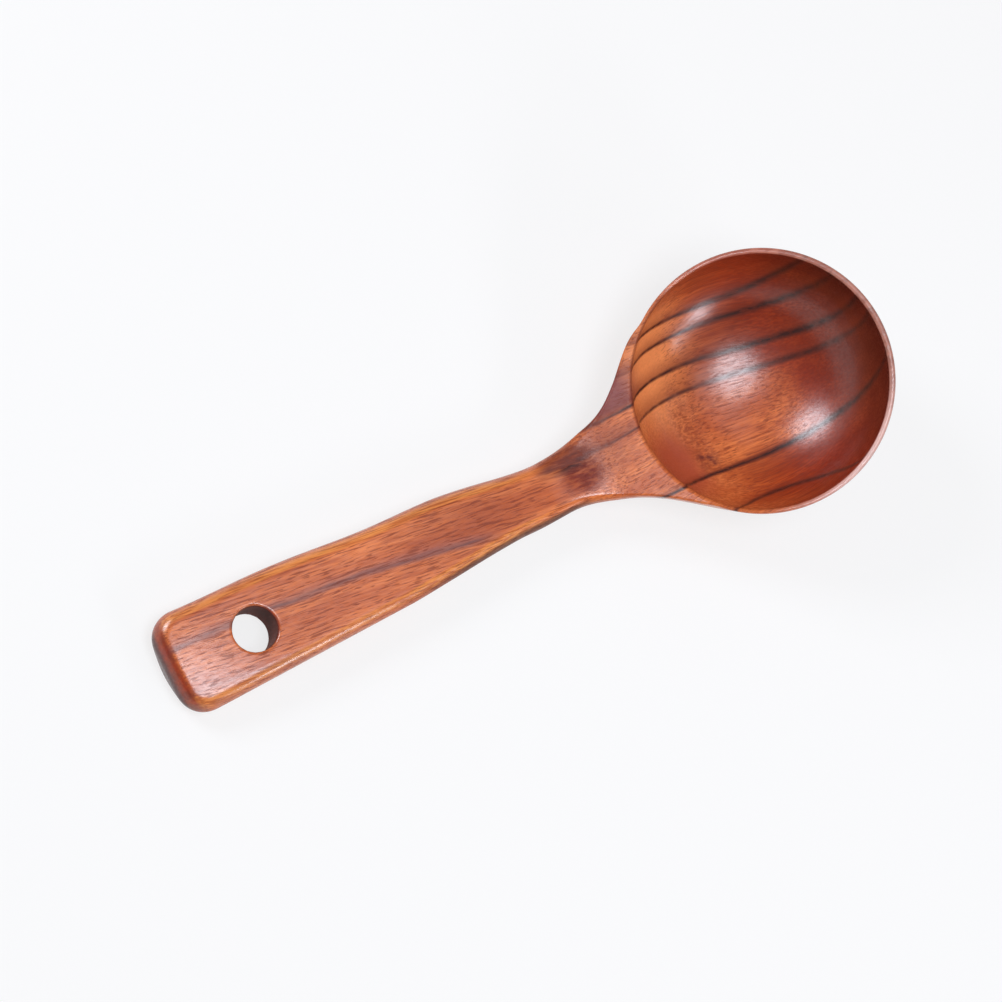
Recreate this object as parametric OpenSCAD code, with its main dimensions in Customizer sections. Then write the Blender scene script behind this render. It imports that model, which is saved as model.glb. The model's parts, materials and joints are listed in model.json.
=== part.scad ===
// A short-handled wooden soup ladle: a round bowl, a flared neck and a flat handle with a hanging hole.
// The ladle lies as it rests on a table: X runs from the handle to the bowl, Z is up and the table is z = 0.
// It is drawn level first, with the middle of the rim at the origin, and then tipped onto its handle's end.

/* [Bowl] */
// Outer diameter of the bowl
bowl_d = 72; // [60:1:90]
// Width of the flat rim between the wall's outside and the hollow
rim_w = 1.4; // [1:0.1:3]
// Outer depth of the bowl below its rim
bowl_depth = 33; // [26:1:36]
// Thickness of the bowl's floor
floor_t = 9; // [3:0.5:12]
// Fullness of the hollow, where 2 is an ellipse and more is squarer
hollow_fullness = 2.05; // [1.9:0.05:2.2]

/* [Neck] */
// Length along the top from the rim's outside to the narrowest place
neck_len = 25; // [20:1:40]
// Width at the narrowest place
waist_w = 15.4; // [12:0.2:20]
// Angle round the rim, from the handle's line, at which the flare leaves the bowl
flare_angle = 58; // [48:1:66]
// Depth of the web under the neck where it runs into the bowl
web_depth = 20; // [15:1:23]

/* [Handle] */
// Rise of the handle from the plane of the rim, in degrees
handle_rise = 22; // [14:1:30]
// Length along the top from the rim's outside to the start of the bend
bend_gap = 10; // [6:1:16]
// Radius of the bend along the top face
bend_r = 50; // [30:1:80]
// Length along the top from the narrowest place to the end
handle_len = 119.7; // [90:0.1:180]
// Length over which the handle widens from the narrowest place to the grip
grip_run = 38; // [26:1:50]
// Width of the grip where it starts
grip_near_w = 22; // [20:0.5:26]
// Width of the grip at its end, before the corners are rounded
grip_end_w = 28.6; // [26:0.2:36]
// Thickness of the handle
handle_t = 11.5; // [9:0.5:16]
// Depth of the widest line of the side below the top face
side_line = 4.5; // [3:0.5:6]
// Radius of the end's corners, seen from above
corner_r = 6.5; // [5:0.5:11]
// Radius of the end's top edge
end_top_r = 2; // [1:0.25:3]
// Radius of the end's bottom edge
end_bottom_r = 3.5; // [1:0.25:5]

/* [Hanging hole] */
// Diameter of the hanging hole
hole_d = 12; // [6:0.5:14]
// Distance along the top from the hole's centre to the handle's end
hole_setback = 25.1; // [16:0.1:40]

/* [Hidden] */
$fn = 128;
wood = "#8f3f1d";

// Fullness of an ellipse, as the bowl's outside and the web are, of the section's top and of the handle's belly
ellipse = 2;
top_fullness = 5;
belly_fullness = 2.6;
// How far the flare's ends are sunk into the bowl's wall, so that it leaves the wall without a step
flare_sink = 0.8;
// Points round a section, and sections along the neck, along the grip and round the end
ring_points = 40;
neck_steps = 16;
grip_steps = 18;
end_steps = 10;
// Points along the bowl's curves
curve_steps = 32;
// Steepest tilt that is tried and number of halvings, to find how the ladle rests
steepest = 60;
halvings = 40;
// How far a cut reaches past a surface
over = 1;

// Places along the top centre line, measured from the bowl's axis
bowl_r = bowl_d / 2;
bend_at = bowl_r + bend_gap;
bend_len = bend_r * handle_rise * PI / 180;
waist_at = bowl_r + neck_len;
grip_at = waist_at + grip_run;
end_at = waist_at + handle_len;
hole_at = end_at - hole_setback;

// The flare starts on a circle just inside the rim, and the web's lowest line starts on the bowl's wall
flare_r = bowl_r - flare_sink;
flare_at = flare_r * cos(flare_angle);
flare_y = flare_r * sin(flare_angle);
flare_slope = -1 / tan(flare_angle);
web_at = bowl_r * sqrt(1 - pow(web_depth / bowl_depth, 2));
grip_taper = (grip_end_w - grip_near_w) / 2 / (handle_len - grip_run);

function clamp(v, low, high) = min(max(v, low), high);

// A cubic from a to b over a length, with slopes slope_a and slope_b, at the fraction t of the way
function cubic(a, b, slope_a, slope_b, length, t) =
    a * (2 * t * t * t - 3 * t * t + 1) + b * (3 * t * t - 2 * t * t * t)
    + length * (slope_a * (t * t * t - 2 * t * t + t) + slope_b * (t * t * t - t * t));

// How much a quarter round of radius r takes off at a distance d from the end
function round_off(d, r) = d >= r ? 0 : r - sqrt(r * r - (r - d) * (r - d));

// The top centre line: level from the bowl, then a bend, then straight up the handle's rise
function turn(u) = clamp(u - bend_at, 0, bend_len) / bend_r * 180 / PI;
function past_bend(u) = max(u - bend_at - bend_len, 0);
function line_x(u) = -min(u, bend_at) - bend_r * sin(turn(u)) - past_bend(u) * cos(handle_rise);
function line_z(u) = bend_r * (1 - cos(turn(u))) + past_bend(u) * sin(handle_rise);

// A point at a depth below the top centre line, square to it
function below(u, y, depth) = [line_x(u) - depth * sin(turn(u)), y, line_z(u) - depth * cos(turn(u))];

// Half the width, before the end's corners are rounded
function flare_half(u) =
    cubic(flare_y, waist_w / 2, flare_slope, 0, waist_at - flare_at, (u - flare_at) / (waist_at - flare_at));
function shoulder_half(u) =
    cubic(waist_w / 2, grip_near_w / 2, 0, grip_taper, grip_run, (u - waist_at) / grip_run);
function grip_half(u) = grip_near_w / 2 + grip_taper * (u - grip_at);
function plain_half(u) = u < waist_at ? flare_half(u) : u < grip_at ? shoulder_half(u) : grip_half(u);
function half_w(u) = plain_half(u) - round_off(end_at - u, corner_r);

// Depth of the underside: the handle's thickness, and more where the web runs into the bowl
function web_share(u) = clamp((waist_at - u) / (waist_at - web_at), 0, 1);
function under(u) = handle_t + (web_depth - handle_t) * pow(web_share(u), 2);
function belly(u) = belly_fullness + (ellipse - belly_fullness) * web_share(u);

// One closed section: a nearly flat top over a rounder belly
function section_point(u, a, top, low) =
    let (fullness = sin(a) >= 0 ? top_fullness : belly(u))
    let (reach = sin(a) >= 0 ? side_line - top : side_line - low)
    let (y = half_w(u) * sign(cos(a)) * pow(abs(cos(a)), 2 / fullness))
    below(u, y, side_line - reach * pow(abs(sin(a)), 2 / fullness));
function section(u) =
    let (top = round_off(end_at - u, end_top_r))
    let (low = under(u) - round_off(end_at - u, end_bottom_r))
    [for (i = [0 : ring_points - 1]) section_point(u, 360 * i / ring_points, top, low)];

// Places of the sections: evenly along a stretch, and closer together towards the rounded end
function places(from, to, steps) = [for (i = [0 : steps]) from + (to - from) * i / steps];
end_places = [for (i = [1 : end_steps]) end_at - corner_r * (1 - sin(90 * i / end_steps))];

// The ladle rests on the bowl's round wall and on the handle, most often on the bottom edge of its end
function edge_centre(r, depth) = below(end_at - r, 0, depth);
foot = edge_centre(end_bottom_r, handle_t - end_bottom_r);
brow = edge_centre(end_top_r, end_top_r);
underside = [for (u = places(bend_at, end_at - end_bottom_r, grip_steps)) below(u, 0, under(u))];

// At a tilt: the height of a point, the depth of the bowl's lowest point and the handle's height above that
function height(p, tilt) = p[2] * cos(tilt) + p[0] * sin(tilt);
function bowl_drop(tilt) = norm([bowl_r * sin(tilt), bowl_depth * cos(tilt)]);
function handle_gap(tilt) =
    bowl_drop(tilt) + min(height(foot, tilt) - end_bottom_r, min([for (p = underside) height(p, tilt)]));
function settled(low, high, left) =
    let (mid = (low + high) / 2)
    left == 0 ? mid : handle_gap(mid) > 0 ? settled(mid, high, left - 1) : settled(low, mid, left - 1);
rest_tilt = settled(0, steepest, halvings);
function tipped_x(p) = p[0] * cos(rest_tilt) - p[2] * sin(rest_tilt);
end_x = min(tipped_x(foot) - end_bottom_r, tipped_x(brow) - end_top_r);
bowl_x = norm([bowl_r * cos(rest_tilt), bowl_depth * sin(rest_tilt)]);
middle_x = (end_x + bowl_x) / 2;

module at_rest() {
    translate([-middle_x, 0, bowl_drop(rest_tilt)]) rotate([0, -rest_tilt, 0]) children();
}

// A closed skin over a row of sections
module loft(at) {
    points = [for (u = at) each section(u)];
    last = (len(at) - 1) * ring_points;
    skin = [
        for (k = [0 : len(at) - 2])
            for (i = [0 : ring_points - 1])
                let (a = k * ring_points + i)
                let (b = k * ring_points + (i + 1) % ring_points)
                each [[a, b, b + ring_points], [a, b + ring_points, a + ring_points]]
    ];
    first_cap = [for (i = [0 : ring_points - 1]) ring_points - 1 - i];
    last_cap = [for (i = [0 : ring_points - 1]) last + i];
    polyhedron(points = points, faces = concat(skin, [first_cap, last_cap]), convexity = 6);
}

// The curve of the bowl's outside or of its hollow, from the rim down to the axis
function bowl_curve(r, depth, fullness) = [
    for (i = [0 : curve_steps])
        let (a = 90 * i / curve_steps)
        [r * pow(cos(a), 2 / fullness), -depth * pow(sin(a), 2 / fullness)]
];
wall_curve = bowl_curve(bowl_r, bowl_depth, ellipse);
hollow_curve = bowl_curve(bowl_r - rim_w, bowl_depth - floor_t, hollow_fullness);

module bowl() {
    hollow_upwards = [for (i = [curve_steps : -1 : 0]) hollow_curve[i]];
    color(wood) at_rest() rotate_extrude() polygon(concat(wall_curve, hollow_upwards));
}

// The bowl without its hollow, which the neck is fitted round
module bowl_block() {
    rotate_extrude() polygon(concat([[0, over], [bowl_r, over]], wall_curve));
}

module neck() {
    color(wood) at_rest() difference() {
        loft(places(flare_at, waist_at, neck_steps));
        bowl_block();
    }
}

module handle() {
    bore_low = below(hole_at, 0, handle_t + over);
    color(wood) at_rest() difference() {
        loft(concat(places(waist_at, end_at - corner_r, grip_steps), end_places));
        translate(bore_low) rotate([0, turn(hole_at), 0]) cylinder(d = hole_d, h = handle_t + 2 * over);
    }
}

bowl();
neck();
handle();
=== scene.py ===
# %% [markdown]
# # A carved and lacquered soup ladle
# The real ladle is one piece of red-brown wood: a round bowl, a neck that flares into the bowl's wall and a
# flat handle with a hanging hole. Nothing on it moves and nothing is joined on, so the whole look rests on
# three things: one unbroken carved skin, a grain that runs through it from end to end, and a glossy clear
# lacquer. This lesson makes them in that order, and then the floor and the studio light.

# %% Load the frame
import json
import math

import bpy
import numpy as np
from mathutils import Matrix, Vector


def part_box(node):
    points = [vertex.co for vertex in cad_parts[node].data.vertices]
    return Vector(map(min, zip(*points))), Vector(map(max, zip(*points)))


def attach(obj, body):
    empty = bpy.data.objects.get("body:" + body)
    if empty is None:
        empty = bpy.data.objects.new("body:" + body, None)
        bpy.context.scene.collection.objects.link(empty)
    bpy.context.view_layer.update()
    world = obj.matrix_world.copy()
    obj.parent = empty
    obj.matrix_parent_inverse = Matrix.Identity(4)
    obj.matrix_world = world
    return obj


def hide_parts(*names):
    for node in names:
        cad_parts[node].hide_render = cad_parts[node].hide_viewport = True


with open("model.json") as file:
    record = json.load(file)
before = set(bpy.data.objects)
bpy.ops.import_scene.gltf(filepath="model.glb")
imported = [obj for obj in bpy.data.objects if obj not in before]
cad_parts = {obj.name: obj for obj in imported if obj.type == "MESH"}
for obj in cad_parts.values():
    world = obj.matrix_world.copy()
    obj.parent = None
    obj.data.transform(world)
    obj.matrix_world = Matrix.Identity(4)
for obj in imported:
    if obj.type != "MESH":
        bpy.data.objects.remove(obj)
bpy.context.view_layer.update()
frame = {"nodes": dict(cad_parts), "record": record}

import openvdb
from mathutils import Matrix, Vector

print("solids to dress:", sorted(frame["nodes"]))

# %% [markdown]
# ## Sizes
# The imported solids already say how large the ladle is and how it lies: it rests on the bowl's round wall and
# on the end of the handle, so the rim is tipped. Carving is easier to describe with the rim level, so the
# shape is worked out in a level frame, in millimetres, with the middle of the rim at its origin and the
# handle towards minus X. One matrix then lays it down where the solids lie.

# %% Sizes that say how the ladle lies
MM = 0.001
bowl_low, bowl_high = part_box("bowl")
hole = next(m for m in frame["record"]["mounts"] if m["name"] == "hang_hole")
bowl_r = (bowl_high.y - bowl_low.y) / 2 / MM
bowl_depth = 33.0
handle_rise = math.radians(22)
print(f"bowl {2 * bowl_r:.1f} mm across and {bowl_depth:.1f} mm deep")

# %% How the level ladle lies in the frame
rest_tilt = handle_rise - math.atan2(hole["axis"][0], hole["axis"][2])
bowl_reach = math.hypot(bowl_r * math.cos(rest_tilt), bowl_depth * math.sin(rest_tilt))
bowl_drop = math.hypot(bowl_r * math.sin(rest_tilt), bowl_depth * math.cos(rest_tilt))
rim_centre = Vector((bowl_high.x - bowl_reach * MM, 0, bowl_low.z + bowl_drop * MM))
lay_down = Matrix.Translation(rim_centre) @ Matrix.Rotation(-rest_tilt, 4, "Y") @ Matrix.Scale(MM, 4)
print(f"rim tipped {math.degrees(rest_tilt):.2f} degrees")

# %% [markdown]
# ## The camera
# The photograph looks down on the ladle from a little over the handle's side. The camera's place is given as
# a distance and two small leans from the rim's own axis. Its turn and its zoom could be nudged by eye, but
# two landmarks settle both: the middle of the rim and the middle of the hanging hole must land on the pixels
# where the photograph has them. A bisection finds the zoom at which the two are as far apart as they should
# be, and the turn is the one that carries the first pair of rays onto the second.

# %% Rays through the landmarks
PICTURE = 1002
HALVINGS = 60
rim_pixel = (761.6, 380.2)
hole_pixel = (255.8, 628.6)


def pixel_ray(pixel, focal):
    """Direction, in the camera's own axes, that a pixel looks along."""
    return Vector((pixel[0] - PICTURE / 2, PICTURE / 2 - pixel[1], -focal)).normalized()


def triad(first, second):
    """Three square axes that follow two directions."""
    across = first.cross(second).normalized()
    return Matrix((first, across, first.cross(across))).transposed()


def zoom_between(angle, shortest=500.0, longest=20000.0):
    """Focal length in pixels at which the two landmarks are an angle apart."""
    for _ in range(HALVINGS):
        focal = (shortest + longest) / 2
        if pixel_ray(rim_pixel, focal).angle(pixel_ray(hole_pixel, focal)) > angle:
            shortest = focal
        else:
            longest = focal
    return focal


print("landmarks at pixels", rim_pixel, "and", hole_pixel)

# %% The top centre line, measured from the bowl's axis
neck_len = 25.0
bend_gap = 10.0
bend_r = 50.0
handle_len = 119.7
hole_setback = 25.1

bend_at = bowl_r + bend_gap
waist_at = bowl_r + neck_len
end_at = waist_at + handle_len
hole_at = end_at - hole_setback


def top_line(u):
    """Point on the top centre line at a length u from the bowl's axis, in the level frame."""
    turn = min(max(u - bend_at, 0) / bend_r, handle_rise)
    rest = max(u - bend_at - bend_r * handle_rise, 0)
    x = -min(u, bend_at) - bend_r * math.sin(turn) - rest * math.cos(handle_rise)
    z = bend_r * (1 - math.cos(turn)) + rest * math.sin(handle_rise)
    return Vector((x, 0, z))


print(f"waist at {waist_at:.1f} mm, hole at {hole_at:.1f} mm, end at {end_at:.1f} mm")

# %% Camera
SENSOR = 36.0
NEAREST_SEEN = 0.01
camera_distance = 925.0
lean_to_handle = math.radians(5.0)
lean_to_side = math.radians(4.3)

eye_way = Vector((-math.sin(lean_to_handle), -math.sin(lean_to_side), 1)).normalized()
eye = lay_down @ (eye_way * camera_distance)
to_rim = (lay_down @ Vector((0, 0, 0)) - eye).normalized()
to_hole = (lay_down @ top_line(hole_at) - eye).normalized()
focal = zoom_between(to_rim.angle(to_hole))
landmark_axes = triad(pixel_ray(rim_pixel, focal), pixel_ray(hole_pixel, focal))
turned = triad(to_rim, to_hole) @ landmark_axes.transposed()

camera = bpy.data.objects.new("camera", bpy.data.cameras.new("camera"))
bpy.context.scene.collection.objects.link(camera)
camera.matrix_world = Matrix.Translation(eye) @ turned.to_4x4()
camera.data.sensor_width = SENSOR
camera.data.lens = focal / PICTURE * SENSOR
camera.data.clip_start = NEAREST_SEEN
bpy.context.scene.camera = camera
print(f"lens {camera.data.lens:.1f} mm, eye {eye.z / MM:.0f} mm above the table")

# %% [markdown]
# ## Carving with distances
# A carver starts from a block and keeps taking away. A distance field works the same way: a function gives,
# for any point, how far it lies outside the wood (plus) or inside it (minus), and cuts are made by taking the
# larger of two such distances. A subdivision cage would also do for a ladle, but the flare that runs into a
# round bowl needs awkward poles there, while two distances melt into each other with a single fillet. Rounded
# edges cost nothing either: one function keeps two distances and rounds the edge between them.

# %% Tools for distances
TINY = 1e-6
NEAR_AXIS = 1e-3


def keep_both(a, b, radius):
    """Keeps what lies inside both distances, and rounds the edge between them."""
    over = np.hypot(np.maximum(a + radius, 0), np.maximum(b + radius, 0))
    return np.minimum(np.maximum(a, b), -radius) + over


def melt(a, b, reach):
    """Joins two distances, with a fillet where they meet."""
    share = np.clip(0.5 + (b - a) / (2 * reach), 0, 1)
    return b + (a - b) * share - reach * share * (1 - share)


def squared_oval(across, down, half_w, half_h, fullness):
    """Distance to an oval with half sizes half_w and half_h: fullness 2 is an ellipse and more is squarer."""
    a = np.maximum(across / half_w, NEAR_AXIS)
    b = np.maximum(down / half_h, TINY)
    size = (a**fullness + b**fullness) ** (1 / fullness)
    steep_a = (a / size) ** (fullness - 1) / half_w
    steep_b = (b / size) ** (fullness - 1) / half_h
    return (size - 1) / np.hypot(steep_a, steep_b)


def smooth_step(value, low, high):
    """0 below low, 1 above high and an even sweep between."""
    t = np.clip((value - low) / (high - low), 0, 1)
    return t * t * (3 - 2 * t)


print(f"a square corner rounded by 1 mm is cut back by {keep_both(0.0, 0.0, 1.0):.2f} mm")

# %% [markdown]
# ## Along the handle
# The top face runs level across the rim, bends up and then rises straight to the end. A profile swept along a
# curve would make such a handle, but it couldn't melt into the bowl. Here any point beside the line has a
# length u along it and a height v above it, and in those two numbers the handle is straight. The width
# follows the outline seen in the photograph: a flare that leaves the rim along its tangent, a narrow waist,
# and a grip that widens to the rounded end. The underside deepens towards the bowl into a web.

# %% Length along the handle


def along(points):
    """Length u along the top centre line and height v above it."""
    x, z = points[:, 0], points[:, 2]
    turn = np.clip(np.arctan2(-x - bend_at, bend_r - z), 0, handle_rise)
    sin, cos = np.sin(turn), np.cos(turn)
    dx = x + bend_at + bend_r * sin
    dz = z - bend_r * (1 - cos)
    return bend_at + bend_r * turn - dx * cos + dz * sin, dx * sin + dz * cos


hole_u, hole_v = along(np.array([top_line(hole_at)]))
print(f"the hole's middle is {hole_u[0]:.1f} mm along the line and {abs(hole_v[0]):.1f} mm off it")

# %% Width of the neck and the handle
waist_w = 15.4
flare_angle = math.radians(58)
flare_sink = 0.8
grip_run = 38.0
grip_near_w = 22.0
grip_end_w = 28.6

flare_at = (bowl_r - flare_sink) * math.cos(flare_angle)
flare_y = (bowl_r - flare_sink) * math.sin(flare_angle)
grip_at = waist_at + grip_run
grip_taper = (grip_end_w - grip_near_w) / 2 / (handle_len - grip_run)


def cubic(a, b, slope_a, slope_b, length, t):
    """A curve from a to b over a length, with a slope at each end, at the fraction t of the way."""
    ease = t * t * (3 - 2 * t)
    return a + (b - a) * ease + length * (slope_a * t * (1 - t) ** 2 - slope_b * t * t * (1 - t))


def half_width(u):
    """Half the width of the neck and the handle."""
    flare_run = waist_at - flare_at
    flare_t = np.clip((u - flare_at) / flare_run, 0, 1)
    flare = cubic(flare_y, waist_w / 2, -1 / math.tan(flare_angle), 0, flare_run, flare_t)
    grip_t = np.clip((u - waist_at) / grip_run, 0, 1)
    shoulder = cubic(waist_w / 2, grip_near_w / 2, 0, grip_taper, grip_run, grip_t)
    return np.where(u < waist_at, flare, shoulder + grip_taper * np.maximum(u - grip_at, 0))


print(f"handle {2 * half_width(np.array([hole_at]))[0]:.1f} mm wide at the hole")

# %% Web under the neck
web_depth = 20.0
web_at = bowl_r * math.sqrt(1 - (web_depth / bowl_depth) ** 2)


def web_share(u):
    """1 where the web meets the bowl, and 0 from the waist on."""
    return np.clip((waist_at - u) / (waist_at - web_at), 0, 1)


print(f"the web meets the bowl {web_at:.1f} mm from its axis")

# %% [markdown]
# ## The whole carving
# The outside is the bowl's rounded block and the handle's long body, melted together. The top face is then
# cut along the line, with an edge that is crisp on the thin rim and softer down the neck and the handle, as a
# hand wears it. No hand-cut outline is quite even, so small swells make either side a little fuller or
# thinner where the photograph shows it. The handle's top is crowned towards its end, and the end is bowed and
# bevelled. The hollow and the hanging hole are cut last, each with its own small easing.

# %% The handle's body
ELLIPSE = 2.0
SLOPE_GAP = 0.1
handle_t = hole["dims"]["length_mm"]
side_line = 4.5
belly_fullness = 2.6
end_bow = 0.6
end_bottom_r = 3.5
corner_r = 7.4

# Swells of the outline: side, place along the top, half length and width
swells = (
    (1, 27.0, 9.0, 1.7),
    (1, 42.0, 9.0, -1.1),
    (1, 57.0, 10.0, 0.5),
    (1, 91.0, 26.0, 0.55),
    (1, 143.0, 26.0, 0.7),
    (-1, 20.0, 10.0, -0.6),
    (-1, 38.0, 12.0, -0.75),
    (-1, 66.0, 11.0, 0.5),
    (-1, 91.0, 22.0, -0.8),
)


def end_distance(u, y):
    """Distance past the handle's gently bowed end."""
    return u - end_at + end_bow * (2 * y / grip_end_w) ** 2


def handle_body(u, v, y):
    """Distance to the neck's and the handle's long body, whose top is still open."""
    half = half_width(u)
    for side, at, length, width in swells:
        half = half + width * np.maximum(1 - ((u - at) / length) ** 2, 0) ** 2 * (side * y > 0)
    side_slope = (half_width(u + SLOPE_GAP) - half_width(u - SLOPE_GAP)) / (2 * SLOPE_GAP)
    past_side = (np.abs(y) - half) / np.sqrt(1 + side_slope**2)
    web = web_share(u)
    under = handle_t + (web_depth - handle_t) * web**2
    fullness = belly_fullness + (ELLIPSE - belly_fullness) * web
    belly = np.maximum(-v - side_line, 0)
    body = squared_oval(half + past_side, belly, half, under - side_line, fullness)
    # The end is rounded by the corners' radius at the sides and by the bottom edge's radius below
    beside = y**2 / (y**2 + (2 * belly) ** 2 + TINY)
    return keep_both(body, end_distance(u, y), end_bottom_r + (corner_r - end_bottom_r) * beside)


print(len(swells), "swells of up to", max(width for _, _, _, width in swells), "mm")

# %% The crowned top
crown_len = 34.0
crown_drop = 2.5
crown_across = 0.7
crown_roll = 0.05


def top_distance(u, v, y):
    """Distance above the top face, which is crowned towards the handle's end."""
    near_end = np.maximum(u - end_at + crown_len, 0) / crown_len
    return v + near_end**2 * (crown_drop + crown_across * (2 * y / grip_end_w) ** 2 - crown_roll * y)


print(f"the top drops by {crown_drop} mm over its last {crown_len:.0f} mm")

# %% Distance to the ladle
rim_melt = 0.5
web_melt = 7.0
melt_grows = (2.0, 16.0)
rim_edge_r = 0.65
handle_edge_r = 3.8
edge_softens = (36.0, 75.0)
end_bevel = 1.7
end_edge_r = 1.2

# The hollow sits a little nearer to the handle than the bowl's outside
hollow_shift = -0.4
rim_w = 1.4
hollow_r = bowl_r - rim_w
floor_t = 9.0
hollow_fullness = 2.05
hollow_edge_r = 0.6
hole_r = hole["dims"]["r_mm"]
hole_edge_r = 0.8


def ladle(points):
    """Distance from each point to the carved ladle's skin, in millimetres in the level frame."""
    x, y, z = points.T
    u, v = along(points)
    block = squared_oval(np.hypot(x, y), -z, bowl_r, bowl_depth, ELLIPSE)
    reach = rim_melt + web_melt * smooth_step(-z, *melt_grows)
    outside = melt(block, np.maximum(handle_body(u, v, y), -u), reach)
    top = top_distance(u, v, y)
    edge_r = rim_edge_r + (handle_edge_r - rim_edge_r) * smooth_step(u, *edge_softens)
    outside = keep_both(outside, top, edge_r)
    outside = keep_both(outside, (end_distance(u, y) + top + end_bevel) / math.sqrt(2), end_edge_r)
    ring = np.hypot(x - hollow_shift, y)
    hollow = squared_oval(ring, -z, hollow_r, bowl_depth - floor_t, hollow_fullness)
    bore = np.hypot(u - hole_at, y) - hole_r
    return keep_both(keep_both(outside, -hollow, hollow_edge_r), -bore, hole_edge_r)


in_floor = (0, 0, -bowl_depth + floor_t / 2)
in_hollow = (0, 0, -bowl_depth / 3)
print("inside the floor and inside the hollow:", np.round(ladle(np.array([in_floor, in_hollow])), 2))

# %% [markdown]
# ## From distances to a mesh
# The distances are sampled on a grid, and a volume tool turns the zero level into quads. Grid quads are a
# little lumpy, so each corner is then slid onto the true skin along the field's own slope, evened out among
# its neighbours and slid back. The slope also gives an exact normal for every corner, and with these normals
# the lacquer's reflections run smoothly over edges that are only about two quads wide.

# %% Sample the carving on a grid
STEP = 0.6
BAND = 3 * STEP
margin = 2.0
grid_low = np.array([top_line(end_at).x - handle_t, -bowl_r, -bowl_depth]) - margin
grid_high = np.array([bowl_r, bowl_r, top_line(end_at).z]) + margin
counts = np.ceil((grid_high - grid_low) / STEP).astype(int)


def sample_slab(i):
    """Distances on one slice of the grid, cut off outside a thin band round the skin."""
    grid = np.stack(np.meshgrid([i], range(counts[1]), range(counts[2]), indexing="ij"), -1)
    points = grid_low + STEP * grid.reshape(-1, 3)
    return np.clip(ladle(points), -BAND, BAND).reshape(counts[1:])


volume = openvdb.FloatGrid(BAND)
volume.copyFromArray(np.stack([sample_slab(i) for i in range(counts[0])]).astype(np.float32))
corners, quads = volume.convertToQuads(0.0)
corners = grid_low + STEP * np.asarray(corners, float)
quads = np.asarray(quads)
print(f"{counts.prod()} samples gave {len(quads)} quads")

# %% Slide the corners onto the true skin
GAP = 0.02
EVENING_ROUNDS = 3


def slope(points):
    """The direction straight out of the skin."""
    steps = [ladle(points + GAP * axis) - ladle(points - GAP * axis) for axis in np.eye(3)]
    out = np.stack(steps, -1)
    return out / np.linalg.norm(out, axis=1, keepdims=True)


def onto_skin(points, rounds):
    """Moves points along the slope until they lie on the skin."""
    for _ in range(rounds):
        reach = np.clip(ladle(points), -STEP, STEP)
        points = points - slope(points) * reach[:, None]
    return points


def even_out(points):
    """Moves each corner half way to the middle of its neighbours."""
    total = np.zeros_like(points)
    count = np.zeros(len(points))
    for side in range(4):
        a, b = quads[:, side], quads[:, (side + 1) % 4]
        for this, other in ((a, b), (b, a)):
            count += np.bincount(this, minlength=len(points))
            for axis in range(3):
                total[:, axis] += np.bincount(this, points[other, axis], minlength=len(points))
    return (points + total / count[:, None]) / 2


corners = onto_skin(corners, rounds=3)
for _ in range(EVENING_ROUNDS):
    corners = onto_skin(even_out(corners), rounds=2)
normals = slope(corners)
print(f"corners lie within {np.abs(ladle(corners)).max():.4f} mm of the skin")

# %% The carved piece
turn_level = np.array(lay_down.to_3x3())
placed = corners @ turn_level.T + np.array(lay_down.translation)
placed_normals = normals @ turn_level.T / MM
first = placed[quads[:, 0]]
winding = np.cross(placed[quads[:, 1]] - first, placed[quads[:, 2]] - first)
if (winding * placed_normals[quads[:, 0]]).sum() < 0:
    quads = quads[:, ::-1]

skin = bpy.data.meshes.new("carved_ladle")
skin.from_pydata(placed.tolist(), [], quads.tolist())
skin.shade_smooth()
skin.normals_split_custom_set_from_vertices(placed_normals.tolist())
carved_ladle = bpy.data.objects.new("carved_ladle", skin)
bpy.context.scene.collection.objects.link(carved_ladle)
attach(carved_ladle, "root")
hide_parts("bowl", "neck", "handle")
print(f"carved_ladle: {len(skin.vertices)} corners, {len(skin.polygons)} quads")

# %% [markdown]
# ## Where a point lies in the wood
# The grain is not paint on the surface: it runs through the block, and the carving cuts across it. So the
# wood is worked out from a point's place in the block, in the same level millimetres as the carving, and the
# lines come out right on the wall of the bowl, over the rim and down the other side without any unwrapping.
# A few small helpers keep the node code short. Each one finds the node tree that it works in from the sockets
# that it is handed. A mask is a number from 0 to 1 that says how much of a finish shows at a place.

# %% Helpers for shader nodes


def add_node(tree, kind, inputs=(), **settings):
    """Adds a node, sets its properties, and gives each input a number or a link."""
    node = tree.nodes.new(kind)
    for name, value in settings.items():
        setattr(node, name, value)
    for key, value in dict(inputs).items():
        if isinstance(value, bpy.types.NodeSocket):
            tree.links.new(value, node.inputs[key])
        else:
            node.inputs[key].default_value = value
    return node


def tree_of(values):
    """The node tree of the first socket among some values."""
    return next(value.id_data for value in values if isinstance(value, bpy.types.NodeSocket))


def maths(operation, *values):
    """One step of arithmetic between sockets and numbers."""
    return add_node(tree_of(values), "ShaderNodeMath", enumerate(values), operation=operation).outputs[0]


def vector_maths(operation, *values):
    """One step of arithmetic with vectors: output 0 is a vector and output "Value" a number."""
    return add_node(tree_of(values), "ShaderNodeVectorMath", enumerate(values), operation=operation).outputs


print("node helpers ready")

# %% Helpers for masks


def product(first, *others):
    """Masks and numbers multiplied together, so it is strong only where all of them are."""
    for other in others:
        first = maths("MULTIPLY", first, other)
    return first


def soft_step(value, low, high, start=0.0, end=1.0):
    """Goes smoothly from start to end while the value goes from low to high."""
    inputs = {"Value": value, "From Min": low, "From Max": high, "To Min": start, "To Max": end}
    return add_node(value.id_data, "ShaderNodeMapRange", inputs, interpolation_type="SMOOTHSTEP").outputs[0]


def fade(value, low, high):
    """Goes smoothly from 1 to 0 while the value goes from low to high."""
    return soft_step(value, low, high, 1.0, 0.0)


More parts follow.
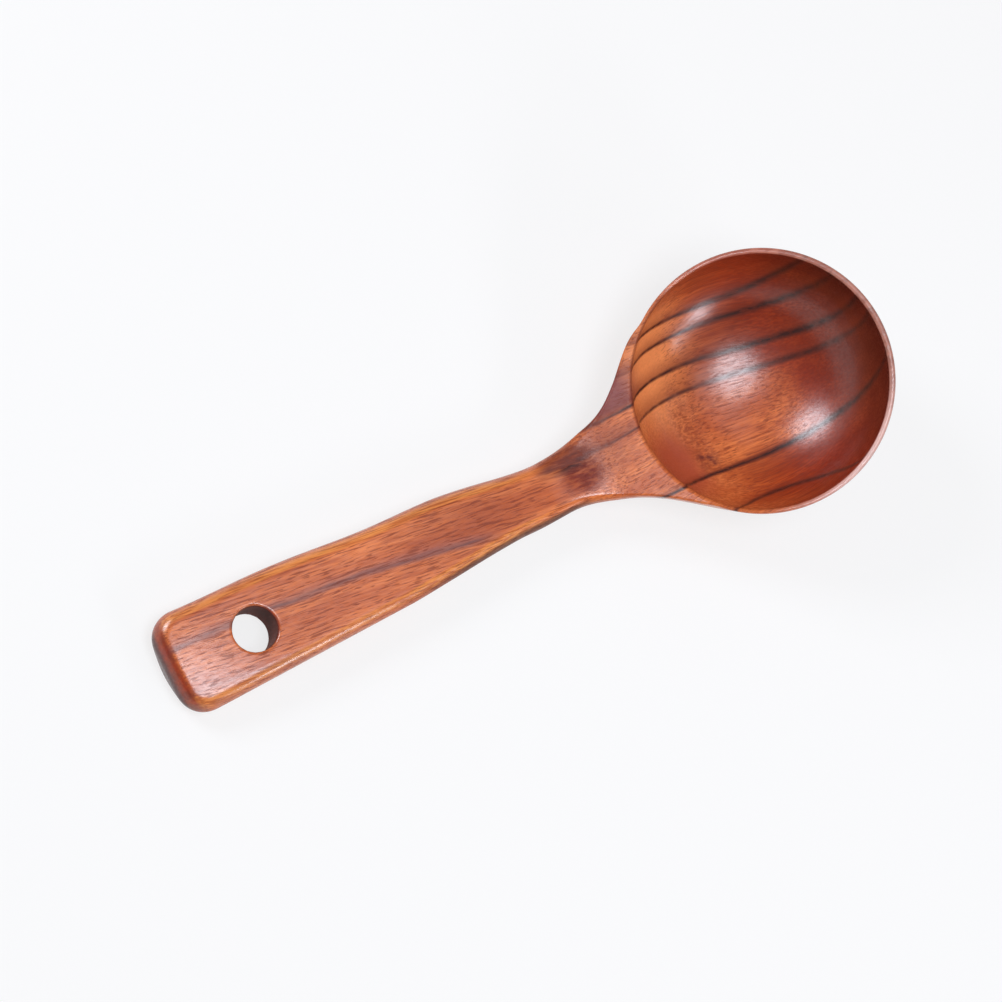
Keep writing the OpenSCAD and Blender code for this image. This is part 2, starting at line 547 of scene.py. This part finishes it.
def lessened(mask, least):
    """1 where the mask is 0, and the least share where the mask is 1."""
    return soft_step(mask, 0.0, 1.0, 1.0, least)


def mixed(share, first, second, blend="MIX"):
    """Goes from the first colour to the second, or to their product, as the share goes from 0 to 1."""
    inputs = {0: share, 6: first, 7: second}
    return add_node(share.id_data, "ShaderNodeMix", inputs, data_type="RGBA", blend_type=blend).outputs[2]


print("mask helpers ready")

# %% Level millimetres
wood = bpy.data.materials.new("lacquered_wood")
wood.use_nodes = True
wood_tree = wood.node_tree
shader = wood_tree.nodes["Principled BSDF"]
skin.materials.append(wood)

into_block = {
    "Vector": add_node(wood_tree, "ShaderNodeTexCoord").outputs["Object"],
    "Location": rim_centre,
    "Rotation": (0, -rest_tilt, 0),
    "Scale": (MM, MM, MM),
}
block_place = add_node(wood_tree, "ShaderNodeMapping", into_block, vector_type="TEXTURE").outputs[0]
x, y, z = add_node(wood_tree, "ShaderNodeSeparateXYZ", {0: block_place}).outputs
print(wood.name, "is placed in millimetres from the middle of the rim")

# %% [markdown]
# ## Growth layers
# A tree adds one layer of wood a year. Sawn along the trunk, the layers are nearly flat sheets that stand
# across the ladle, so the number that tells them apart is close to the distance y across it. On the real
# ladle they fan out a little towards the bowl's far rim, slant along the handle and lean over with depth, and
# those small corrections are written here as a formula. A slow noise then makes the layers waver as grown
# wood does. All noises in this wood are drawn out along the fibres, which climb towards the handle.

# %% Straight layers
slant_from = -44.0
handle_slant = 0.112
bowl_slant = 0.03
lean_in = 0.0093
twist = 0.0077
fan_along = 0.0032
fan_down = 0.0116

x_bowl = maths("MAXIMUM", x, slant_from)
x_handle = maths("MINIMUM", maths("SUBTRACT", x, slant_from), 0.0)
depth = maths("MINIMUM", z, 0.0)
slanted = maths("MULTIPLY_ADD", x_handle, handle_slant, y)
slanted = maths("MULTIPLY_ADD", x_bowl, -bowl_slant, slanted)
leaning = maths("MULTIPLY_ADD", depth, maths("MULTIPLY_ADD", x_bowl, -twist, lean_in), slanted)
spread = maths("MULTIPLY_ADD", x_bowl, -fan_along, 1.0)
spread = maths("MULTIPLY_ADD", depth, -fan_down, spread)
straight_layer = maths("DIVIDE", leaning, spread)
print(f"layers slant by {handle_slant} along the handle and by {bowl_slant} along the bowl")

# %% Noise along the fibres
bowl_climb = 0.15
handle_climb = 0.37

# This height stays the same along a fibre
fibre_height = maths("MULTIPLY_ADD", x_bowl, bowl_climb, z)
fibre_height = maths("MULTIPLY_ADD", x_handle, handle_climb, fibre_height)


def grain_noise(layers, along_size, across_size, detail=2.0):
    """Noise that is drawn out along the fibres of some layers, with its sizes in millimetres."""
    parts = {
        0: maths("DIVIDE", x, along_size),
        1: maths("DIVIDE", layers, across_size),
        2: maths("DIVIDE", fibre_height, across_size),
    }
    drawn_out = add_node(wood_tree, "ShaderNodeCombineXYZ", parts).outputs[0]
    inputs = {"Vector": drawn_out, "Scale": 1.0, "Detail": detail}
    return add_node(wood_tree, "ShaderNodeTexNoise", inputs).outputs[0]


print(f"fibres climb by {bowl_climb} in the bowl and by {handle_climb} in the handle")

# %% Wavering layers
NOISE_MIDDLE = 0.5
waver = 0.9
fine_waver = 0.35

wobble = maths("SUBTRACT", grain_noise(straight_layer, 26.0, 7.0), NOISE_MIDDLE)
ripple = maths("SUBTRACT", grain_noise(straight_layer, 4.0, 1.5), NOISE_MIDDLE)
layer = maths("MULTIPLY_ADD", wobble, waver, straight_layer)
layer = maths("MULTIPLY_ADD", ripple, fine_waver, layer)
print("layers waver by up to", waver / 2, "mm")

# %% [markdown]
# ## Growth lines
# Each layer darkens slowly and stops at a thin, nearly black line, and the next one starts pale. A wave
# texture would draw even stripes, but the real lines are few and uneven, so one node group draws a single
# line: it is handed the layer number, where the line lies in it, how it bows along the ladle and between
# which lengths it shows, and it gives back two masks, the dark line itself and the shade that leads up to it.
# The group is placed once for each line that shows on the real ladle, with its own values.

# %% Sockets of the growth line group
LINE_VALUES = ("Place", "Middle", "Bow", "From", "To", "Width", "Reach", "Depth")

line_group = bpy.data.node_groups.new("growth_line", "ShaderNodeTree")
for name in ("Layer", "Along", *LINE_VALUES):
    line_group.interface.new_socket(name, in_out="INPUT", socket_type="NodeSocketFloat")
for name in ("Line", "Shade"):
    line_group.interface.new_socket(name, in_out="OUTPUT", socket_type="NodeSocketFloat")
given = line_group.nodes.new("NodeGroupInput").outputs
print("a growth line is set by", ", ".join(LINE_VALUES))

# %% Where a line runs and how far it shows
END_FADE = 10.0

off_middle = maths("SUBTRACT", given["Along"], given["Middle"])
line_at = maths("ADD", given["Place"], product(off_middle, off_middle, given["Bow"]))
past_line = maths("SUBTRACT", given["Layer"], line_at)
fade_in = soft_step(given["Along"], maths("SUBTRACT", given["From"], END_FADE), given["From"])
fade_out = fade(given["Along"], given["To"], maths("ADD", given["To"], END_FADE))
shows = product(fade_in, fade_out, given["Depth"])
print(f"a line fades out over {END_FADE:.0f} mm at its ends")

# %% How broad a line is
# It is broad on the far wall, fine on the near one and broad again on the neck and the handle
in_bowl = soft_step(given["Along"], -40.0, 25.0, 0.65, 1.75)
on_neck = soft_step(given["Along"], -46.0, -36.0, 1.2, 0.0)
line_width = product(given["Width"], maths("MAXIMUM", in_bowl, on_neck))
core = fade(maths("ABSOLUTE", past_line), 0.0, line_width)
lead_up = fade(past_line, 0.0, given["Reach"])
one_side = soft_step(past_line, product(line_width, -1.0), 0.0)
masks = {"Line": product(core, shows), "Shade": product(lead_up, one_side, shows)}
add_node(line_group, "NodeGroupOutput", masks)
print("growth_line group:", len(line_group.nodes), "nodes")

# %% The lines on this ladle
RIM = 40.0
HANDLE_END = -190.0

# Each line's values stand in the order of LINE_VALUES
growth_lines = {
    "far_left": (22.3, -6.0, 0.0031, -40.0, RIM, 0.95, 4.0, 1.0),
    "left": (17.7, 0.0, 0.0, -40.0, RIM, 0.95, 4.0, 0.95),
    "upper_middle": (10.2, -18.0, -0.0006, -50.0, RIM, 0.95, 4.5, 1.0),
    "middle": (4.7, -16.0, -0.0007, -58.0, RIM, 0.85, 4.5, 0.85),
    "right": (-14.4, -14.0, 0.0018, -40.0, RIM, 0.95, 2.0, 1.0),
    "far_right": (-23.8, -11.0, -0.0124, -30.0, 20.0, 0.85, 2.5, 0.9),
    "handle": (-5.6, -125.0, -0.0009, HANDLE_END, -90.0, 1.1, 2.5, 1.0),
    "handle_right": (-18.4, 0.0, 0.0, HANDLE_END, -145.0, 1.2, 2.0, 0.35),
}

line_mask = 0.0
shade_mask = 0.0
for name, values in growth_lines.items():
    inputs = {"Layer": layer, "Along": x, **dict(zip(LINE_VALUES, values))}
    line = add_node(wood_tree, "ShaderNodeGroup", node_tree=line_group, label=name, inputs=inputs).outputs
    line_mask = maths("MAXIMUM", line_mask, line["Line"])
    shade_mask = maths("MAXIMUM", shade_mask, line["Shade"])
print("lines drawn:", ", ".join(growth_lines))

# %% [markdown]
# ## Fibres, pores and ground colour
# Between the lines the wood is made of fine fibres in slightly different browns, and of pores: short open
# tubes that the carving cuts lengthwise into dark dashes, a few millimetres long and a few tenths wide. Both
# are noises drawn out along the fibres. Where a wall cuts straight across the fibres, the tubes end in small
# dots that the lacquer fills, so the pores are weakened there. The ground colour is warm and pale near the
# handle, and reddens and darkens towards the bowl's far rim.

# %% Fibres and pores
broad = soft_step(grain_noise(layer, 60.0, 5.0, 3.0), 0.35, 0.65)
streaks = soft_step(grain_noise(layer, 10.0, 0.5), 0.3, 0.7)
long_pores = soft_step(grain_noise(layer, 10.0, 0.45, 1.0), 0.58, 0.68)
short_pores = soft_step(grain_noise(layer, 4.0, 0.34, 1.0), 0.58, 0.68)
facing = add_node(wood_tree, "ShaderNodeNewGeometry").outputs["Normal"]


def along_fibres(climb):
    """How squarely the surface faces along fibres with a climb: plus or minus 1 where it cuts across them."""
    fibre_way = (lay_down.to_3x3() @ Vector((-1, 0, climb))).normalized()
    return vector_maths("DOT_PRODUCT", facing, fibre_way)["Value"]


cut_across = soft_step(maths("ABSOLUTE", along_fibres(bowl_climb)), 0.2, 0.5)
pores = maths("MAXIMUM", long_pores, short_pores)
pores = product(pores, soft_step(x, -60.0, -30.0, 1.0, 0.85), lessened(cut_across, 0.12))
print("fibres and two sizes of pores")

# %% Ground colours
PALE = (0.84, 0.23, 0.06, 1)
GROUND = (0.62, 0.135, 0.032, 1)
FIBRE = (0.44, 0.078, 0.018, 1)
REDDER = (0.52, 0.24, 0.2, 1)
DARK_WOOD_AND_SHADE = (0.32, 0.36, 0.7, 1)
FIBRE_SHARE = 0.7

colour = mixed(broad, GROUND, PALE)
colour = mixed(product(streaks, FIBRE_SHARE), colour, FIBRE)

# The wide layer across the floor reddens less than the others
pale_layer = product(soft_step(layer, -14.5, -12.5), fade(layer, 1.0, 5.0), fade(x, 0.0, 16.0))
redness = product(soft_step(x, -28.0, 10.0), lessened(pale_layer, 0.25))
colour = mixed(redness, colour, REDDER, "MULTIPLY")
# Towards the far rim the wood darkens: partly its own darker colour, partly painted shade of the far wall,
# which faces away from the light
colour = mixed(soft_step(x, 6.0, 36.0), colour, DARK_WOOD_AND_SHADE, "MULTIPLY")
print("ground from pale to dark wood")

# %% [markdown]
# ## Stains and painted light and shade
# Grown wood is not one colour. This ladle has a dark, feathered stain in the bend of its neck and a small knot
# near the foot of the hollow's near wall. Light and shade are painted into the wood in the same way: a dark
# purple painted reflection on one side of the flare, a painted lit wall on one side of the hollow, painted
# shade on the other side at the near wall and lower down, and painted shade along the handle. Such places
# could be painted on the surface, but then they would stop at an edge. Here most are soft spots at a place in
# the block and one follows a growth layer, so they go through the wood as the lines do. Some are broken into
# feathers by a noise along the fibres. Each one then either takes the place of the colour under it or, as a
# tint, multiplies it.

# %% Soft spots and feathers


def spot(centre, half_sizes):
    """A soft round mask at a place in the block, with its half sizes in millimetres."""
    off = vector_maths("SUBTRACT", block_place, centre)[0]
    scaled = vector_maths("DIVIDE", off, half_sizes)[0]
    return fade(vector_maths("LENGTH", scaled)["Value"], 0.3, 1.0)


feathers = soft_step(grain_noise(layer, 8.0, 0.9, 3.0), 0.35, 0.6, 0.55, 1.0)
fine_feathers = soft_step(grain_noise(layer, 5.0, 0.5, 2.0), 0.4, 0.65, 0.2, 0.8)
mottle = soft_step(grain_noise(layer, 3.5, 2.0, 3.0), 0.35, 0.65)
print("spots can be feathered or mottled")

# %% Stains, a painted reflection and painted shade on the neck and the handle
FLARE_SHEEN_PAINT = (0.19, 0.042, 0.055, 1)
NECK_STAIN = (0.3, 0.065, 0.035, 1)
BEND_RED = (0.32, 0.09, 0.07, 1)
BEND_DARK = (0.24, 0.2, 0.3, 1)
HANDLE_SHADE = (0.62, 0.48, 0.42, 1)

# Painted reflection: a dark purple band along a growth layer on the flare's plus Y side stands in for a lamp
# mirrored there
flare_sheen_band = product(soft_step(layer, 9.5, 11.5), fade(layer, 18.0, 22.0))
painted_flare_sheen = product(flare_sheen_band, soft_step(x, -36.0, -26.0, 0.85, 0.0))
at_neck = product(spot((-48.0, 3.0, 0.0), (14.0, 12.0, 10.0)), 0.45)
red_bend = spot((-54.5, -0.5, 0.5), (9.0, 8.0, 9.0))
dark_bend = spot((-57.0, 4.8, 1.5), (12.0, 5.0, 9.0))
# Painted shade darkens the middle of the handle and, more weakly, the part towards its end
mid_handle_shade_spot = product(spot((-90.0, 3.0, 13.0), (36.0, 18.0, 16.0)), 0.5)
painted_handle_shade = maths("MAXIMUM", mid_handle_shade_spot, soft_step(x, -140.0, -110.0, 0.28, 0.0))
print("stains on the flare, the neck, the bend and the handle")

# %% Stains, painted light and painted shade in the bowl
LIT_WALL_PAINT = (1.0, 0.36, 0.12, 1)
NEAR_WALL_SHADE = (0.47, 0.08, 0.032, 1)
LOWER_WALL_SHADE = (0.82, 0.58, 0.45, 1)
FOOT = (0.34, 0.062, 0.018, 1)
KNOT = (0.14, 0.022, 0.014, 1)

# Painted light: a brighter, warmer wall on the plus Y side of the hollow, where light falls on it
painted_lit_wall = product(spot((-24.0, 19.0, -10.0), (21.0, 30.0, 18.0)), 0.62)
# Painted shade: a darker, redder near wall on the minus Y side of the hollow, below the rim, which faces away
# from the light
below_rim = soft_step(z, -0.7, -0.2, 0.95, 0.0)
painted_near_wall_shade = product(spot((-29.0, -10.0, -9.5), (12.0, 17.0, 13.5)), below_rim)
# Painted shade: the lower part of the minus Y wall of the hollow is darkened and reddened
painted_lower_wall_shade = spot((2.0, -27.0, -12.0), (30.0, 11.0, 15.0))
foot_of_wall = spot((-22.5, -3.0, -17.8), (5.5, 20.0, 5.0))
at_knot = product(spot((-21.5, -11.5, -17.5), (5.0, 4.5, 5.0)), mottle)
print("stains on the hollow's walls, at their foot and at the knot")

# %% Lay the stains and the painted light and shade over the ground
# Besides real stains, this list holds painted light and shade: the lit wall, the flare's reflection, the
# handle's shade and the two shaded walls
stains = (
    (painted_lit_wall, LIT_WALL_PAINT, "MIX"),
    (painted_flare_sheen, FLARE_SHEEN_PAINT, "MIX"),
    (painted_handle_shade, HANDLE_SHADE, "MULTIPLY"),
    (at_neck, NECK_STAIN, "MIX"),
    (painted_near_wall_shade, NEAR_WALL_SHADE, "MIX"),
    (painted_lower_wall_shade, LOWER_WALL_SHADE, "MULTIPLY"),
    (product(foot_of_wall, fine_feathers), FOOT, "MIX"),
    (at_knot, KNOT, "MIX"),
    (product(red_bend, feathers), BEND_RED, "MULTIPLY"),
    (product(dark_bend, feathers), BEND_DARK, "MULTIPLY"),
)
for mask, stain, blend in stains:
    colour = mixed(mask, colour, stain, blend)
print(len(stains), "stains over the ground")

# %% [markdown]
# ## Lines and pores over the ground
# The growth lines come next, with the shade that leads up to each. In the bowl they are nearly black and
# almost whole. On the neck and the handle they are softer and broken up by the fibres, and on one side of the
# flare's top they nearly vanish. A single mask holds all of this. The pores lie over the lines.

# %% Lines and pores
LATE = (0.22, 0.032, 0.012, 1)
LILAC = (0.33, 0.12, 0.11, 1)
DARK_LINE = (0.04, 0.009, 0.007, 1)
SOFT_LINE = (0.06, 0.018, 0.021, 1)
PORE = (0.2, 0.035, 0.016, 1)
LATE_SHARE = 0.6
PORE_SHARE = 0.65

broken = soft_step(grain_noise(layer, 9.0, 1.2, 3.0), 0.3, 0.6, 0.7, 1.0)
softer_neck = soft_step(x, -48.0, -34.0, 0.6, 1.0)
flare_top = product(soft_step(z, -0.9, -0.2), soft_step(y, 12.0, 14.0), fade(x, -22.0, -14.0))
fibre_gaps = product(fade(streaks, 0.0, 0.8), fade(x, -60.0, -46.0))
past_hole = soft_step(x, -164.0, -152.0, 0.7, 1.0)
broken = product(broken, softer_neck, lessened(flare_top, 0.2), lessened(fibre_gaps, 0.65), past_hole)

late_colour = mixed(soft_step(x, -80.0, -50.0), LILAC, LATE)
line_colour = mixed(soft_step(x, -46.0, -36.0), SOFT_LINE, DARK_LINE)
colour = mixed(product(shade_mask, LATE_SHARE), colour, late_colour)
colour = mixed(product(line_mask, broken), colour, line_colour)
colour = mixed(product(pores, PORE_SHARE), colour, PORE)
print("lines and pores over the ground")

# %% [markdown]
# ## Cut edges and painted light
# Some places on the real ladle differ because of how they were cut. End grain drinks more of the
# finish, so the bevel at the handle's end is a deep, mottled red and the end itself is darker still. The
# drilled hole was never sanded or lacquered, so its wall is dull, and its colour is darkened as painted shade.
# The edge of the hollow holds a thin dark line on the handle's side. The rim gets a paler painted sheen and a
# painted highlight, the handle's long edges get a paler painted light, and one flank of the handle gets
# painted shade. The way that the surface faces finds the end grain, the long edges and the flank, and places
# find the rest.

# %% End grain
BEVEL = (0.32, 0.03, 0.009, 1)
END_GRAIN = (0.1, 0.026, 0.02, 1)
MOTTLE_SHARE = 0.6
BEVEL_SHARE = 0.85

along_handle = along_fibres(handle_climb)
at_end = fade(x, -140.0, -130.0)
on_bevel = product(soft_step(along_handle, 0.3, 0.6), at_end, BEVEL_SHARE)
end_grain = product(soft_step(along_handle, 0.74, 0.9), at_end)
bevel_colour = mixed(product(mottle, MOTTLE_SHARE), BEVEL, END_GRAIN)
print("end grain on the bevel and the end")

# %% The hole's wall
HOLE_SHADE = (0.17, 0.042, 0.026, 1)


def distance(a, b):
    """Length of a way that goes a in one direction and b square to it."""
    return maths("SQRT", maths("ADD", product(a, a), product(b, b)))


hole_top = top_line(hole_at)
from_hole_x = product(maths("SUBTRACT", x, hole_top.x), -math.cos(handle_rise))
from_hole_z = product(maths("SUBTRACT", z, hole_top.z), math.sin(handle_rise))
from_hole = distance(maths("ADD", from_hole_x, from_hole_z), y)
# Inside the hole the colour is darkened as painted shade
in_hole = fade(from_hole, hole_r + 0.02, hole_r + 0.25)
print(f"bare wall within {hole_r:.1f} mm of the hole's axis")

# %% Painted light on the long edges and painted shade on a flank
EDGE_LIGHT_PAINT = (1.0, 0.4, 0.1, 1)
SIDE_SHADE = (0.3, 0.38, 0.6, 1)

facing_y = add_node(wood_tree, "ShaderNodeSeparateXYZ", {0: facing}).outputs[1]
sideways = maths("ABSOLUTE", facing_y)
# Painted light: a paler, yellower band along the handle's rounded long edges stands in for light falling on
# them
on_corner = product(soft_step(sideways, 0.1, 0.35), fade(sideways, 0.6, 0.85))
edge_light_share = product(soft_step(x, -80.0, -60.0, 0.5, 0.0), soft_step(streaks, 0.2, 0.9, 1.0, 0.3))
off_hole = soft_step(from_hole, hole_r + 1.5, hole_r + 3.0)
painted_edge_light = product(on_corner, edge_light_share, off_hole)
# Painted shade on the handle's minus Y flank between the hole and the neck, which faces away from the light
painted_shade_flank = product(fade(facing_y, -0.8, -0.55), soft_step(x, -115.0, -90.0), fade(x, -62.0, -50.0))
print("rubbed long edges and a dark flank")

# %% The hollow's edge and the rim
EDGE_LINE = (0.12, 0.02, 0.014, 1)
RIM_SHEEN_PAINT = (0.8, 0.34, 0.24, 1)
RIM_HIGHLIGHT_PAINT = (0.95, 0.62, 0.54, 1)

from_axis = distance(maths("SUBTRACT", x, hollow_shift), y)
from_edge = maths("ABSOLUTE", maths("SUBTRACT", from_axis, hollow_r))
handle_side = product(fade(x, -16.0, -8.0), soft_step(z, -1.2, -0.4))
weaker_low = soft_step(y, -14.0, 6.0, 0.3, 1.0)
edge_line = product(soft_step(from_edge, 0.35, 0.8, 0.5, 0.0), handle_side, weaker_low)

on_top = product(soft_step(from_axis, hollow_r - 0.1, hollow_r + 0.2), soft_step(z, -1.0, -0.5))
on_rim = product(on_top, soft_step(x, -18.0, 10.0, 0.0, 0.5))
# Painted reflection: the rim's top is made paler as a sheen, and paler still on its minus Y side as a painted
# highlight
painted_rim_sheen = product(on_rim, soft_step(mottle, 0.0, 1.0, 0.6, 1.0))
painted_rim_highlight = product(on_rim, soft_step(y, -30.0, -8.0, 0.9, 0.0))
print(f"hollow's edge {hollow_r:.1f} mm from its axis")

# %% Lay the cut edges and the painted light and shade over the wood
edges_and_painted_light = (
    (painted_shade_flank, SIDE_SHADE, "MULTIPLY"),
    (painted_edge_light, EDGE_LIGHT_PAINT, "MIX"),
    (painted_rim_sheen, RIM_SHEEN_PAINT, "MIX"),
    (painted_rim_highlight, RIM_HIGHLIGHT_PAINT, "MIX"),
    (on_bevel, bevel_colour, "MIX"),
    (end_grain, END_GRAIN, "MIX"),
    (edge_line, EDGE_LINE, "MIX"),
    (in_hole, HOLE_SHADE, "MIX"),
)
for mask, edge_colour, blend in edges_and_painted_light:
    colour = mixed(mask, colour, edge_colour, blend)
wood_tree.links.new(colour, shader.inputs["Base Color"])
print(len(edges_and_painted_light), "cut edges over the wood")

# %% [markdown]
# ## Lacquer
# The clear lacquer is a second, smoother surface over the wood, and the Principled shader has one built in:
# its coat. A lacquer on kitchen wood is glossy but not a mirror, so its highlights have soft edges. It is
# thinner over the pores and a little uneven elsewhere, which breaks up the highlights. Some of it has sunk
# into the stained wood, some has worn off three edges, and there is hardly any in the hole. The wood below is
# rougher, and the pores are sunk into it by a fine bump.

# %% Where the lacquer is thin
flare_side = product(soft_step(sideways, 0.08, 0.25), soft_step(y, 5.0, 8.0))
flare_edge = product(flare_side, soft_step(x, -58.0, -52.0), soft_step(x, -20.0, -12.0, 0.8, 0.0))
low_side = product(soft_step(sideways, 0.1, 0.3), fade(y, -6.0, -4.0))
low_edge = product(low_side, soft_step(x, -145.0, -95.0, 0.05, 0.65), fade(x, -52.0, -40.0))
hollow_edge = product(fade(from_edge, 0.7, 1.2), handle_side)
sunk_at_bend = product(maths("MAXIMUM", red_bend, dark_bend), 0.8)
sunk_at_foot = product(foot_of_wall, 0.7)

bare = in_hole
for mask in (hollow_edge, flare_edge, low_edge, sunk_at_bend, sunk_at_foot):
    bare = maths("MAXIMUM", bare, mask)
print("lacquer is thin in the hole, on three edges and over two stains")

# %% Coat
COAT_ROUGHNESS = 0.25
COAT_IOR = 1.75

uneven = soft_step(grain_noise(layer, 2.0, 0.5, 2.0), 0.3, 0.65, 0.6, 1.0)
coat = product(uneven, lessened(pores, 0.55), soft_step(bare, 0.0, 0.9, 1.0, 0.1))
wood_tree.links.new(coat, shader.inputs["Coat Weight"])
shader.inputs["Coat Roughness"].default_value = COAT_ROUGHNESS
shader.inputs["Coat IOR"].default_value = COAT_IOR
print("coat with a roughness of", COAT_ROUGHNESS)

# %% Wood under the coat
WOOD_SPECULAR = 0.15
WOOD_ROUGHNESS = 0.5
ROUGHNESS_SPREAD = 0.06
HOLE_ROUGHNESS = 0.85
STREAK_RELIEF = 0.15
BUMP_STRENGTH = 0.15
PORE_DEPTH = 0.1

shader.inputs["Specular IOR Level"].default_value = WOOD_SPECULAR
smoothest = WOOD_ROUGHNESS - ROUGHNESS_SPREAD
roughest = WOOD_ROUGHNESS + ROUGHNESS_SPREAD
rough = maths("MAXIMUM", soft_step(streaks, 0.0, 1.0, smoothest, roughest), product(in_hole, HOLE_ROUGHNESS))
wood_tree.links.new(rough, shader.inputs["Roughness"])

relief = maths("SUBTRACT", product(streaks, STREAK_RELIEF), pores)
bump_inputs = {"Height": relief, "Strength": BUMP_STRENGTH, "Distance": PORE_DEPTH * MM}
bump = add_node(wood_tree, "ShaderNodeBump", bump_inputs)
wood_tree.links.new(bump.outputs[0], shader.inputs["Normal"])
print(f"pores sunk by up to {PORE_DEPTH} mm")

# %% [markdown]
# ## Floor
# The ladle lies on a plain pale floor. A flat plane would do for the photograph's view, but from lower down
# it would end in a hard horizon, so the floor turns up into a low wall far away, as a photographer's paper
# does. Part of its brightness is a glow that only the camera sees, straight or by way of something shiny or
# clear: the floor looks nearly white and shows as white in the lacquer, but it throws no more light on the
# ladle, and the plain part still takes the shadow.

# %% Shape of the paper
PAPER_FLAT = 2.5
PAPER_BEND = 1.2
PAPER_SIDES = 64
PAPER_STEPS = 12

paper_corners = [(0.0, 0.0, 0.0)]
for i in range(PAPER_STEPS + 1):
    turn = math.pi / 2 * i / PAPER_STEPS
    radius = PAPER_FLAT + PAPER_BEND * math.sin(turn)
    height = PAPER_BEND * (1 - math.cos(turn))
    for side in range(PAPER_SIDES):
        around = 2 * math.pi * side / PAPER_SIDES
        paper_corners.append((radius * math.cos(around), radius * math.sin(around), height))

paper_faces = []
for side in range(PAPER_SIDES):
    after = (side + 1) % PAPER_SIDES
    paper_faces.append((0, 1 + side, 1 + after))
    for ring in range(PAPER_STEPS):
        near = 1 + ring * PAPER_SIDES
        far = near + PAPER_SIDES
        paper_faces.append((near + side, far + side, far + after, near + after))
print(f"paper of {len(paper_faces)} faces")

# %% Paper floor
paper_mesh = bpy.data.meshes.new("paper_floor")
paper_mesh.from_pydata(paper_corners, [], paper_faces)
paper_mesh.shade_smooth()
paper_floor = bpy.data.objects.new("paper_floor", paper_mesh)
bpy.context.scene.collection.objects.link(paper_floor)
print(f"paper floor {2 * PAPER_FLAT:.0f} m across")

# %% Paper finish
PAPER = (0.85, 0.85, 0.85, 1)
GLOW_SHARE = 0.75

paper = bpy.data.materials.new("pale_paper")
paper.use_nodes = True
paper_tree = paper.node_tree
paper_tree.nodes.clear()
ray = add_node(paper_tree, "ShaderNodeLightPath").outputs
seen = maths("MAXIMUM", ray["Is Camera Ray"], ray["Is Glossy Ray"])
seen = maths("MAXIMUM", seen, ray["Is Transmission Ray"])
plain = add_node(paper_tree, "ShaderNodeBsdfDiffuse", {"Color": PAPER}).outputs[0]
glow = add_node(paper_tree, "ShaderNodeEmission").outputs[0]
both = add_node(paper_tree, "ShaderNodeMixShader", {0: product(seen, GLOW_SHARE), 1: plain, 2: glow})
add_node(paper_tree, "ShaderNodeOutputMaterial", {"Surface": both.outputs[0]})
paper_mesh.materials.append(paper)
print("paper glows for", GLOW_SHARE, "of what is seen")

# %% [markdown]
# ## Studio light
# The photograph's highlights tell where its lamps stood: a highlight sits where the lacquer mirrors a lamp
# towards the camera. Six soft boxes of a slightly cool white are placed by such mirror directions, given in
# the ladle's level frame. A key lamp high over the bowl, a window to the left and a low box to the right make
# the three highlights in the bowl. A second low box, further round, lights the handle's low edge. Beyond the
# bowl, a wide weak box lays a sheen over the handle, and another one below it lights the hollow's near wall.
# The sky is brighter overhead than at the horizon. Together they add up to a plain level, at which a colour
# renders about as written.

# %% Soft boxes
LAMP_DISTANCE = 0.9
COOL_WHITE = (0.97, 0.99, 1.07)


def soft_box(name, towards, half_across, half_up, radiance):
    """An oval lamp that faces the bowl, with its half sizes as seen from there in degrees."""
    lamp = bpy.data.lights.new(name, "AREA")
    lamp.shape = "ELLIPSE"
    lamp.color = COOL_WHITE
    lamp.size = 2 * LAMP_DISTANCE * math.tan(math.radians(half_across))
    lamp.size_y = 2 * LAMP_DISTANCE * math.tan(math.radians(half_up))
    area = math.pi / 4 * lamp.size * lamp.size_y
    lamp.energy = radiance * math.pi * area
    piece = bpy.data.objects.new(name, lamp)
    bpy.context.scene.collection.objects.link(piece)
    way = (lay_down.to_3x3() @ Vector(towards)).normalized()
    piece.location = rim_centre + way * LAMP_DISTANCE
    piece.rotation_mode = "QUATERNION"
    piece.rotation_quaternion = way.to_track_quat("Z", "Y")
    piece.visible_camera = False
    print(f"{name}: {lamp.size:.2f} by {lamp.size_y:.2f} m, {lamp.energy:.1f} W")


soft_box("key_lamp", (0.21, -0.19, 0.96), 13, 13, 9.5)
soft_box("left_window", (-0.25, 0.67, 0.70), 11, 13, 10.0)
soft_box("low_right", (0.28, -0.90, 0.32), 8, 6, 13.0)
soft_box("low_far_right", (0.59, -0.75, 0.31), 9, 6, 6.0)
soft_box("far_veil", (0.51, 0.03, 0.86), 30, 9, 0.72)
soft_box("far_low", (0.92, 0.0, 0.39), 30, 10, 1.0)

# %% Sky
WHITE = (1, 1, 1, 1)
HORIZON = 0.04
OVERHEAD = 0.08

world = bpy.data.worlds.new("studio")
bpy.context.scene.world = world
world.use_nodes = True
sky_tree = world.node_tree
sky_way = add_node(sky_tree, "ShaderNodeTexCoord").outputs["Generated"]
up = add_node(sky_tree, "ShaderNodeSeparateXYZ", {0: sky_way}).outputs[2]
background = sky_tree.nodes["Background"]
background.inputs["Color"].default_value = WHITE
sky_tree.links.new(soft_step(up, 0.1, 1.0, HORIZON, OVERHEAD), background.inputs["Strength"])
bpy.context.scene.view_settings.view_transform = "Standard"
print("sky from", HORIZON, "to", OVERHEAD)
